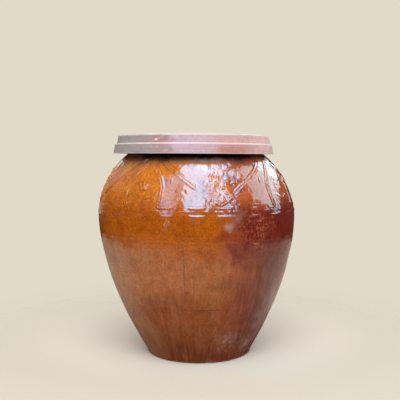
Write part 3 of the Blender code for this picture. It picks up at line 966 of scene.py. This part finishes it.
def amber_glaze(graph, look):
    """Iron glaze: honey on the shoulder, amber on the belly, dry and streaked below, maroon on one side."""
    azimuth = wall_place(graph)
    height = azimuth.beside("Height")
    broad = graph.noise(5.0, 3.0, 0.6)
    cloud = graph.noise(17.0, 5.0, 0.62, 0.3)
    mottle = graph.noise(52.0, 4.0, 0.65)
    grain = graph.noise(210.0, 3.0, 0.7)
    runs = streaks(graph, 15.0, 0.55, 0.44, 0.66)
    fine_runs = streaks(graph, 50.0, 0.14, 0.40, 0.70)

    # Masks, each 1 well inside its zone: the dry lower wall, the maroon side, its belt and the pale haze of
    # milky streaks, which on one side is also a painted reflection of the pale floor
    level = height.varied((broad, 0.07), (cloud, 0.06), (mottle, 0.02))
    ragged = height + abs(azimuth - 0.3).step(1.25, 0.45) * 0.019
    ragged = ragged.varied((broad, 0.15), (cloud, 0.16), (mottle, 0.06), (grain, 0.03), (runs, -0.024))
    lower = ragged.step(*LOWER_EDGE)
    east = azimuth.varied((cloud, 0.50), (mottle, 0.25), (lower, -0.12))
    east = east.step(*MAROON_START) * east.step(*MAROON_END)
    belt = east * level.step(*BELT_EDGE)
    west = azimuth.varied((cloud, 0.45), (mottle, 0.25))
    # Painted reflection: on this side the lower wall is painted paler, for the pale floor that the glaze
    # mirrors
    painted_reflection_side = abs(west - REFLECTION_SIDE_MIDDLE).step(1.0, 0.22) * broad.step(0.38, 0.62, 0.44, 0.64)
    haze_and_reflection = lower * (runs * 0.15 + painted_reflection_side)
    patchy = broad.step(0.38, 0.62, 0.35, 1.0)
    dry = graph.mix(azimuth.step(*PLUM_START), look.russet, look.plum)

    # Glazes and runs, and last what gathers beside the relief and thins on top of it
    body = graph.mix(level.step(*HONEY_EDGE), look.amber, look.honey).coated(
        (level.step(*STRAW_EDGE) * 0.8, look.straw),
        (east * 0.85, look.copper),
        (lower, look.tan),
        (lower * broad.varied((mottle, 0.25)).step(0.47, 0.58) * 0.85, look.ochre),
        (level.step(*BROWN_EDGE), look.brown),
        (level.step(*UMBER_EDGE), look.umber),
        (belt, graph.mix(lower, look.maroon, dry)),
        (east * level.step(*DARK_EDGE) * 0.7, look.umber),
        (lower * abs(azimuth - 1.4).step(1.5, 0.95) * 0.24, look.russet),
        (belt * azimuth.step(1.0, 1.3) * 0.38, look.copper),
        (haze_and_reflection, look.bloom_and_reflection),
        (fine_runs * patchy * height.step(0.46, 0.34, 0.06, 0.19), look.umber),
        (belt * lower * fine_runs * 0.32, look.maroon),
        (graph.attribute("glaze_depth") * cloud.step(0.40, 0.60, 0.12, 0.48), look.iron_and_neck_shade),
        (graph.math("MULTIPLY", graph.attribute("raised"), 0.16, clamp=True), look.honey),
    )

    # Stains and mottling, then painted shade under the lid's overhang as a dark ring up over the neck and
    # rim, specks and marks
    body = body.coated((cloud.step(0.46, 0.64) * 0.42, body.tinted(STAIN_TINT)))
    light = grain.step(0.30, 0.70, 0.72, 1.28)
    light = light.varied((mottle, 0.85), (turning_lines(graph, 330.0), 0.28), (fine_runs, 0.10))
    # Painted shade under the lid's overhang, strongest at azimuth 0 and weaker round the sides and back
    ring = height.varied((cloud, 0.016), (mottle, 0.006)).step(*NECK_SHADE_EDGE)
    crumbs = graph.noise(150.0, 5.0, 0.74).step(0.49, 0.58)
    body = body.shaded(light).coated(
        (ring * (abs(azimuth).step(1.0, 0.65) * 0.45 + 0.55), look.iron_and_neck_shade),
        (speckle(graph, 230.0, 0.22, 0.40) * 0.5, look.iron_and_neck_shade),
        (speckle(graph, 160.0, 0.05, 0.30) * 0.45, look.bloom_and_reflection),
        (crumbs * mark(graph, *CRUMBS) * 0.78, look.fleck),
        *((mark(graph, *shape) * strength, getattr(look, tint)) for tint, strength, *shape in GLAZE_MARKS),
    )
    rough = ragged.step(*DRY_EDGE, 0.07, 0.26) + haze_and_reflection * 0.3
    peel = turning_lines(graph, 240.0) * 0.4 + graph.noise(170.0, 3.0, 0.6)
    return graph.surface(body, rough, 0.35, peel, 0.34, 0.0007)


def inner_glaze(graph, look):
    """Thin dark glaze inside the jar."""
    cloud = graph.noise(14.0, 5.0, 0.6)
    body = graph.mix(cloud.step(0.3, 0.7), look.umber, look.amber).coated(
        (streaks(graph, 18.0, 0.3, 0.4, 0.7) * 0.4, look.iron_and_neck_shade),
        (speckle(graph, 180.0, 0.1, 0.3), look.iron_and_neck_shade),
    )
    lines = turning_lines(graph, 120.0)
    return graph.surface(body, cloud.step(0.3, 0.7, 0.2, 0.35), 0.35, lines, 0.5, 0.0012)


def foot_clay(graph, look):
    """Bare, gritty clay under the foot."""
    cloud = graph.noise(22.0, 5.0, 0.65)
    body = graph.mix(cloud.step(0.3, 0.7), look.clay, look.umber)
    body = body.coated((speckle(graph, 260.0, 0.25, 0.4) * 0.5, look.bloom_and_reflection))
    return graph.surface(body, cloud.step(0.2, 0.8, 0.82, 0.95), 0.3, turning_lines(graph, 150.0), 0.6, 0.001)


def bare_clay(graph, look, lid, low):
    """The lid's fired clay: pink, smoked grey on one side, with a warm patch and chalky edges."""
    height = wall_place(graph).beside("Height")
    across = graph.axes()[0] / lid.radius
    cloud = graph.noise(9.0, 5.0, 0.6)
    smoke = graph.noise(34.0, 5.0, 0.65)
    grain = graph.noise(240.0, 4.0, 0.7)
    side = across.varied((cloud, 0.6), (smoke, 0.5))
    step = low + lid.step_height
    smoked = side - height.step(step + 0.004, step - 0.004, 0.0, 0.16)
    slant = (across + 1.0) * (LID_SLANT * lid.radius)
    rub = smoke.step(0.25, 0.65, 0.9, 0.5)
    edges = ((low + lid.height, 0.0062), (step, 0.0034), (low, 0.0022))
    body = graph.mix(side.step(-0.05, 0.32), look.lilac, look.pink).coated(
        (side.step(0.45, 0.85), look.blush),
        (side.step(-0.14, -0.42), look.rose),
        (smoked.step(-0.44, -0.66), look.grey),
        (mark(graph, 26.0, low + 0.008, 0.080, 0.020, 0.2, 1.0, 24.0) * 0.85, look.salmon),
        *((abs(height - edge + slant).step(reach, reach * 0.3) * rub, look.chalk) for edge, reach in edges),
        (mark(graph, -28.0, low + 0.038, 0.007, 0.004, 0.2, 1.2, 120.0), look.chalk),
        (mark(graph, -38.0, low + 0.011, 0.006, 0.0016, 0.3, 1.4, 160.0) * 0.6, NICK_TINT),
        # Painted shade: a thin grey line just below the top edge at the front
        (mark(graph, 2.0, low + 0.046, 0.055, 0.0022, 0.0, 2.6, 90.0) * 0.35, look.grey),
    )
    lines = turning_lines(graph, 380.0)
    body = body.shaded(grain.step(0.25, 0.75, 0.88, 1.10) + smoke.step(0.3, 0.7, -0.06, 0.06))
    body = body.shaded(lines.step(0.36, 0.60, 0.93, 1.05))
    body = body.coated((speckle(graph, 230.0, 0.05, 0.35) * 0.5, look.grey))
    return graph.surface(body, cloud.step(0.2, 0.8, 0.86, 0.97), 0.15, lines + grain * 0.6, 0.6, 0.0010)


def jar_finishes(scene):
    """The jar's outer and inner finish."""
    look = scene.jar_glaze
    return [material("jar_outside", amber_glaze, look), material("jar_inside", inner_glaze, look)]


def chip_foot(mesh, jar):
    """Breaks flakes out of the foot's edge and lets the edge wander, as a hand-cut foot does."""
    places = rows_of(mesh.vertices)
    azimuth, radii = polar(places)
    near_edge = bell(radii - jar.foot_radius, FLAKE_WIDTH)
    near_edge *= np.clip(1.0 - places[:, 2] / FLAKE_HEIGHT, 0.0, 1.0)
    flake = sum(share * bell(azimuth - middle, reach) for middle, reach, share in FOOT_FLAKES)
    waver = 0.25 + 0.25 * np.sin(3 * azimuth + 0.5) * np.sin(7 * azimuth)
    raise_by = near_edge * (FLAKE_DEPTH * flake + FOOT_WAVER * waver)
    places[:, 2] += np.where(places[:, 2] < FOOT_TOP, raise_by, 0.0)
    move(mesh, places)


class JAR_OT_belly(Operator):
    """Turn the jar's foot, floor and belly"""

    bl_idname = "jar.belly"
    bl_label = "Foot and Belly"

    def execute(self, context):
        jar = context.scene.jar_sizes
        wall = Wall(jar)
        top = SHOULDER_CUTS[0]
        heights = wall.rows(jar.foot_edge, top, WALL_STEP)
        ring_inside = jar.foot_radius - FOOT_RING_WIDTH
        outline = [(0.0, FOOT_RECESS), (ring_inside * 0.5, FOOT_RECESS)]
        outline += [(ring_inside + out, height) for out, height in RING_INSIDE]
        outline += [(jar.foot_radius + out, height) for out, height in RING_UNDER + RING_OUTSIDE]
        outline += wall.outer_line(heights) + wall.inner_line(jar.floor + FLOOR_FILLET, top)
        foot_wall = np.array((jar.foot_radius - jar.wall, jar.floor))
        floor_edge = foot_wall - (FLOOR_FILLET, 0.0)
        fillet = bezier(np.array(outline[-1]), foot_wall, foot_wall, floor_edge, FILLET_STEPS)
        outline += [tuple(point) for point in fillet[1:]]
        outline += [(radius, jar.floor) for radius in FLOOR_RINGS]
        finishes = jar_finishes(context.scene) + [material("jar_foot", foot_clay, context.scene.jar_glaze)]
        piece = finished("belly", turned(outline, PLAIN_COLUMNS, False), finishes)
        sort_faces(piece.data, wall, jar.floor - 0.001, top, jar.foot_edge + 0.0005)
        dress_wall(piece.data, wall, None, heights, PLAIN_COLUMNS)
        chip_foot(piece.data, jar)
        set_on(piece, "jar", ["jar_body"])
        return {"FINISHED"}


def relief_nodes(*names):
    """The plain solids of some kinds of relief, all round the jar."""
    return [f"{name}_{number}" for name in names for number in range(1, REPEATS + 1)]


class JAR_OT_shoulder(Operator):
    """Turn the jar's shoulder and raise its luted relief"""

    bl_idname = "jar.shoulder"
    bl_label = "Shoulder and Relief"

    def execute(self, context):
        jar = context.scene.jar_sizes
        wall = Wall(jar)
        relief = Relief(wall, jar)
        finishes = jar_finishes(context.scene)
        pieces = (
            ("shoulder_low", ("leaf_left", "leaf_right")),
            ("shoulder_middle", ("flower", "bud_left", "bud_right")),
            ("shoulder_high", ("scroll_left", "scroll_right")),
        )
        for (name, kinds), low, high in zip(pieces, SHOULDER_CUTS, SHOULDER_CUTS[1:]):
            heights = wall.rows(low, high, SHOULDER_STEP)
            outline = wall.outer_line(heights) + wall.inner_line(low, high)
            piece = finished(name, turned(outline, SHOULDER_COLUMNS, True), finishes)
            sort_faces(piece.data, wall, low, high)
            dress_wall(piece.data, wall, relief, heights, SHOULDER_COLUMNS)
            nodes = relief_nodes("lappet_band", "arch_band", *kinds)
            set_on(piece, "jar", ["jar_body"] + nodes)
        return {"FINISHED"}


class JAR_OT_neck(Operator):
    """Turn the jar's neck and rolled rim"""

    bl_idname = "jar.neck"
    bl_label = "Neck and Rim"

    def execute(self, context):
        jar = context.scene.jar_sizes
        wall = Wall(jar)
        low = SHOULDER_CUTS[-1]
        heights = wall.rows(low, jar.neck_height, SHOULDER_STEP)
        half_rim = RIM_HEIGHT / 2
        roll_middle = jar.height - half_rim
        turns = np.linspace(-math.pi / 2, math.pi / 2, ROLL_POINTS)
        throat = jar.neck_radius - jar.wall
        corner = np.array((throat, jar.height))
        lip = bezier(corner + (RIM_ROUND, 0.0), corner, corner, corner - (0.0, RIM_ROUND), CORNER_STEPS)
        outline = wall.outer_line(heights)
        outline += [(jar.neck_radius, height)
                    for height in np.linspace(jar.neck_height, roll_middle - half_rim, 5)[1:-1]]
        outline += [(jar.neck_radius + RIM_ROLL * math.cos(turn), roll_middle + half_rim * math.sin(turn))
                    for turn in turns]
        outline += [tuple(point) for point in lip]
        outline += [(throat, height) for height in np.linspace(jar.height - THROAT_DROP, jar.neck_height, 5)]
        outline.append((float(wall.inner_radius(low)), low))
        piece = finished("neck", turned(outline, PLAIN_COLUMNS, True), jar_finishes(context.scene))
        dress_wall(piece.data, wall, Relief(wall, jar), heights, PLAIN_COLUMNS)
        set_on(piece, "jar", ["jar_body"])
        return {"FINISHED"}


def rounded_outline(corners, step):
    """An outline from (radius, height, rounding) corners, with points along the straights between them."""
    arcs = []
    last = len(corners) - 1
    for spot, (radius, height, rounding) in enumerate(corners):
        corner = np.array((radius, height))
        if rounding == 0.0:
            arcs.append(corner[None, :])
            continue
        ends = []
        for other in (corners[max(spot - 1, 0)], corners[min(spot + 1, last)]):
            away = np.array(other[:2]) - corner
            ends.append(corner + rounding * away / np.linalg.norm(away))
        arcs.append(bezier(ends[0], corner, corner, ends[1], CORNER_STEPS))
    outline = list(arcs[0])
    for arc in arcs[1:]:
        start = outline[-1]
        count = max(1, math.ceil(np.linalg.norm(arc[0] - start) / step))
        outline += [start + (arc[0] - start) * k / count for k in range(1, count)]
        outline += list(arc)
    return [tuple(point) for point in outline]


def wear_lid(mesh, lid, centre, low):
    """Warps the lid a little, lumps its faces and knocks small nicks out of its edges."""
    places = rows_of(mesh.vertices)
    azimuth, radii = polar(places)
    radii = np.maximum(radii, 0.0001)
    outer = np.clip((radii - lid.radius * 0.6) / (lid.radius * 0.3), 0.0, 1.0)
    slanted = np.clip((radii - lid.radius + lid.skirt + 0.012) / 0.010, 0.0, 1.0)
    slanted = np.maximum(slanted, places[:, 2] > lid.height - lid.plate / 2)
    places[:, 2] -= slanted * LID_SLANT * (places[:, 0] + lid.radius)
    height = places[:, 2]
    push = (sum_of_waves(LID_WAVES, azimuth, height) - LID_INSET) * outer
    draw = np.random.default_rng(23)
    for edge in (0.0, lid.step_height, lid.height):
        for _ in range(NICKS):
            spot, reach, bite = draw.uniform(NICK_LEAST, NICK_MOST)
            turn = (azimuth - spot + math.pi) % math.tau - math.pi
            away = np.hypot(turn * radii / reach, (height - edge) / NICK_HEIGHT)
            push -= bite * np.exp(-away**2) * (radii > lid.radius - 0.02)
    places[:, :2] *= 1.0 + (push / radii)[:, None]
    places += (centre, 0.0, low)
    move(mesh, places)


class JAR_OT_lid(Operator):
    """Turn the loose stepped lid"""

    bl_idname = "jar.lid"
    bl_label = "Lid"

    def execute(self, context):
        lid = context.scene.lid_sizes
        depth = lid.height - lid.plate
        tier = lid.radius - LID_TIER_TAPER
        upper = tier - lid.step_width
        skirt = lid.radius - lid.skirt
        outline = rounded_outline([
            (0.0, depth, 0.0),
            (skirt - LID_INNER_TAPER, depth, 0.004),
            (skirt, 0.0, 0.002),
            (lid.radius, 0.0, 0.0022),
            (tier, lid.step_height, 0.0034),
            (upper, lid.step_height, 0.0014),
            (upper - LID_TOP_TAPER, lid.height, 0.0058),
            (0.0, lid.height, 0.0),
        ], LID_STEP)
        low = LID_LOW[2]
        clay = material("lid_clay", bare_clay, context.scene.lid_clay, lid, low)
        piece = finished("lid_cover", turned(outline, LID_COLUMNS, False), [clay])
        wear_lid(piece.data, lid, (LID_LOW[0] + LID_HIGH[0]) / 2, low)
        set_on(piece, "lid", ["lid"])
        return {"FINISHED"}


def floor_finish(graph, look):
    """Pale floor, painted lighter in the jar's shade, that fades into the backdrop, with another ground for
    what the glaze mirrors.
    """
    x, y, _ = graph.axes()
    mirrored = graph.made("LightPath", {}, "Is Glossy Ray")
    reach = graph.distance(x, y)
    lit = graph.distance(x / GROUND_WIDTH, (y - GROUND_BACK) / GROUND_DEPTH)
    # What the glaze mirrors of the floor is painted dark near the jar, as painted shade of its shadow
    ground = lit.step(1.10, 0.92) * reach.step(0.22, 0.60, 0.12, 1.0)
    ground = graph.mix(ground, DARK_GROUND, look.backdrop)
    # Painted light on the floor: lighter round the middle of the jar's shadow, darker farther out in full
    # light
    shade = graph.distance(x, y - PAINTED_LIGHT_BACK)
    plain = graph.mix(shade.step(0.38, 0.68), look.floor, look.far_floor)
    cover = graph.math("MAXIMUM", reach.step(FLOOR_FADE_END, FLOOR_FADE_START), mirrored)
    return {"Base Color": plain.coated((mirrored, ground)), "Roughness": 1.0, "Specular IOR Level": 0.0,
            "Alpha": cover}


def make_world(scene, look):
    """Even white light, with the backdrop for what the camera sees and a dim room for the glaze."""
    world = bpy.data.worlds.new("studio")
    world.use_nodes = True
    scene.world = world
    graph = Graph(world.node_tree)
    light = world.node_tree.nodes["Background"]
    graph.feed(light.inputs["Color"], WHITE)
    graph.feed(light.inputs["Strength"], look.fill)
    camera = graph.made("LightPath", {}, "Is Camera Ray")
    shiny = graph.math("MAXIMUM", camera.beside("Is Glossy Ray"), camera.beside("Is Transmission Ray"))
    way = graph.made("TexCoord", {}, "Generated")
    rise = graph.made("SeparateXYZ", {0: way}, "Z")
    dim = graph.mix(rise.step(0.02, 0.60), ROOM_LOW, ROOM_HIGH)
    mirrored = graph.made("Background", {"Color": dim, "Strength": 1.0})
    seen = graph.made("Background", {"Color": look.backdrop, "Strength": 1.0})
    both = graph.made("MixShader", {0: shiny, 1: Value(graph, light.outputs[0]), 2: mirrored})
    final = graph.made("MixShader", {0: camera, 1: both, 2: seen})
    graph.feed(world.node_tree.nodes["World Output"].inputs["Surface"], final)


def hang_lamp(name, place, aim, width, height, power, tint, **sight):
    """A rectangular lamp that faces a point."""
    data = bpy.data.lights.new(name, "AREA")
    data.shape = "RECTANGLE"
    data.size = width
    data.size_y = height
    data.energy = power
    data.color = tint
    lamp = bpy.data.objects.new(name, data)
    bpy.context.collection.objects.link(lamp)
    lamp.location = place
    lamp.rotation_euler = (aim - place).to_track_quat("-Z", "Y").to_euler()
    lamp.visible_camera = False
    for way, seen in sight.items():
        setattr(lamp, "visible_" + way, seen)
    return lamp


def window_lamp(name, wall, azimuth, height, width, tall, radiance, tint, distance=WINDOW_DISTANCE, roll=0.0,
                spread=math.pi):
    """A window that only the glaze mirrors, hung where the camera sees it at one place on the wall."""
    turn = math.radians(azimuth)
    spot = Vector(wall.point(turn, height, 0.0))
    facing = wall.normal(turn, height)
    ray = (spot - CAMERA_PLACE).normalized()
    bounce = ray - 2.0 * ray.dot(facing) * facing
    power = math.pi * radiance * width * tall * (1.0 - spread / 2 / math.tan(spread / 2))
    lamp = hang_lamp(name, spot + distance * bounce, spot, width, tall, power, tint, diffuse=False,
                     transmission=False, volume_scatter=False)
    lamp.data.spread = spread
    lamp.rotation_euler.rotate_axis("Z", math.radians(roll))


class JAR_OT_stage(Operator):
    """Set the floor, the backdrop, the light and the camera"""

    bl_idname = "jar.stage"
    bl_label = "Stage"

    def execute(self, context):
        scene = context.scene
        look = scene.jar_stage
        wall = Wall(scene.jar_sizes)
        shape = bmesh.new()
        bmesh.ops.create_circle(shape, cap_ends=True, radius=FLOOR_RADIUS, segments=96)
        bmesh.ops.translate(shape, verts=shape.verts, vec=(0.0, 0.0, -FLOOR_DROP))
        floor = finished("floor", shape, [material("pale_floor", floor_finish, look)])
        make_world(scene, look)
        hang_lamp("key", KEY_PLACE, KEY_AIM, KEY_SIZE, KEY_SIZE, look.key, WHITE, glossy=False)
        for name, azimuth, height, width, tall, radiance, roll, tint in WINDOWS:
            window_lamp(name, wall, azimuth, height, width, tall, radiance, tint or look.window, roll=roll)
        for number, place_and_size in enumerate(GLINTS):
            window_lamp(f"glint_{number}", wall, *place_and_size, SKY, look.window, GLINT_DISTANCE,
                        spread=GLINT_SPREAD)
        view = bpy.data.cameras.new("view")
        view.lens = CAMERA_LENS
        view.sensor_width = 36.0
        camera = bpy.data.objects.new("view", view)
        context.collection.objects.link(camera)
        camera.location = CAMERA_PLACE
        camera.rotation_euler = (CAMERA_PITCH, 0.0, 0.0)
        scene.camera = camera
        scene.view_settings.view_transform = "Standard"
        return {"FINISHED"}


class JAR_PT_panel(Panel):
    """Buttons for the jar's pieces"""

    bl_label = "Storage Jar"
    bl_idname = "JAR_PT_panel"
    bl_space_type = "VIEW_3D"
    bl_region_type = "UI"
    bl_category = "Storage Jar"

    def draw(self, context):
        scene = context.scene
        for group, steps in ((scene.jar_sizes, ("jar.belly", "jar.shoulder", "jar.neck")),
                             (scene.lid_sizes, ("jar.lid",)), (scene.jar_glaze, ()), (scene.lid_clay, ()),
                             (scene.jar_stage, ("jar.stage",))):
            box = self.layout.box()
            for name in group.__annotations__:
                box.prop(group, name)
            for step in steps:
                box.operator(step)


GROUPS = {"jar_sizes": JarSizes, "lid_sizes": LidSizes, "jar_glaze": GlazeLook, "lid_clay": ClayLook,
          "jar_stage": StageLook}
STEPS = (JAR_OT_belly, JAR_OT_shoulder, JAR_OT_neck, JAR_OT_lid, JAR_OT_stage)


def register():
    for name, group in GROUPS.items():
        bpy.utils.register_class(group)
        setattr(bpy.types.Scene, name, PointerProperty(type=group))
    for step in (*STEPS, JAR_PT_panel):
        bpy.utils.register_class(step)


def unregister():
    for step in (JAR_PT_panel, *reversed(STEPS)):
        bpy.utils.unregister_class(step)
    for name, group in GROUPS.items():
        delattr(bpy.types.Scene, name)
        bpy.utils.unregister_class(group)


def main():
    register()
    bpy.ops.jar.belly()
    bpy.ops.jar.shoulder()
    bpy.ops.jar.neck()
    bpy.ops.jar.lid()
    bpy.ops.jar.stage()


if __name__ == "__main__":
    main()
